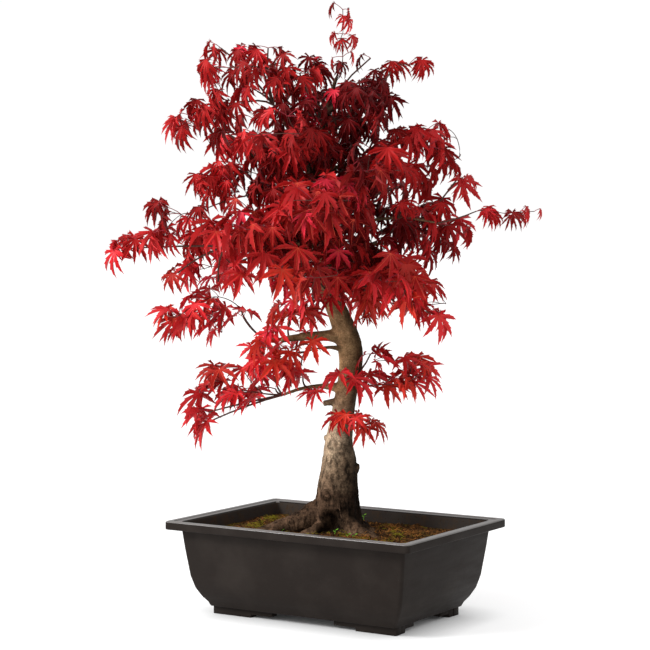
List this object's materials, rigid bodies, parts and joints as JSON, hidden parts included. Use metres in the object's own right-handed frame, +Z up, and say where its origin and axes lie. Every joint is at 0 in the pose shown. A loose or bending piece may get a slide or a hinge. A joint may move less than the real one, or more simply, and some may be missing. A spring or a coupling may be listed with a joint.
{
  "type": "potted maple bonsai",
  "caption": "Red-leaved maple bonsai with a leaning tapered trunk, surface roots and layered sprays of lobed leaves, rooted in a footed rectangular tray pot.",
  "frame": {"origin": "On the ground plane under the feet of the pot, at the middle of the pot, which is within 5 mm of the middle of the bounding box.", "axes": "+Z up along the height, +X along the long side of the pot, +Y towards the back of the pot. The tree is turned 32 degrees about +Z from the long side of the pot."},
  "size_m": [0.4927, 0.3804, 0.7778],
  "materials": {
    "pot_plastic": "dark brown moulded plastic, satin",
    "potting_soil": "dark crumbly soil with moss strands",
    "bark": "rough tan and brown bark",
    "young_bark": "smooth young bark",
    "red_foliage": "satin red leaves"
  },
  "bodies": {
    "root": {"bough_crown_far": "young_bark", "bough_crown_left": "young_bark", "bough_crown_near": "young_bark", "bough_crown_right": "young_bark", "bough_droop_right": "young_bark", "bough_far_left": "young_bark", "bough_far_left_upper": "young_bark", "bough_far_low_right": "young_bark", "bough_far_right_upper": "young_bark", "bough_inner_left": "young_bark", "bough_long_left": "young_bark", "bough_low_left": "young_bark", "bough_mid_left": "young_bark", "bough_near_centre": "young_bark", "bough_near_left": "young_bark", "bough_near_mid": "young_bark", "bough_near_right": "young_bark", "bough_near_upper_right": "young_bark", "bough_pad_left": "young_bark", "bough_right_mid": "young_bark", "bough_sprig_right": "young_bark", "bough_upper_far": "young_bark", "bough_upper_left": "young_bark", "bough_upper_near": "young_bark", "bough_upper_right": "young_bark", "foliage_apex": "red_foliage", "foliage_crown_far": "red_foliage", "foliage_crown_left": "red_foliage", "foliage_crown_mid": "red_foliage", "foliage_crown_near": "red_foliage", "foliage_crown_right": "red_foliage", "foliage_droop_right": "red_foliage", "foliage_far_left": "red_foliage", "foliage_far_left_upper": "red_foliage", "foliage_far_low_right": "red_foliage", "foliage_far_right_upper": "red_foliage", "foliage_inner_left": "red_foliage", "foliage_long_left": "red_foliage", "foliage_low_left": "red_foliage", "foliage_low_near": "red_foliage", "foliage_mid_left": "red_foliage", "foliage_near_centre": "red_foliage", "foliage_near_left": "red_foliage", "foliage_near_mid": "red_foliage", "foliage_near_right": "red_foliage", "foliage_near_upper_right": "red_foliage", "foliage_pad_left": "red_foliage", "foliage_pad_right": "red_foliage", "foliage_right_mid": "red_foliage", "foliage_sprig_right": "red_foliage", "foliage_upper_far": "red_foliage", "foliage_upper_left": "red_foliage", "foliage_upper_near": "red_foliage", "foliage_upper_right": "red_foliage", "pot": "pot_plastic", "soil": "potting_soil", "trunk": "bark"}
  },
  "joints": []
}
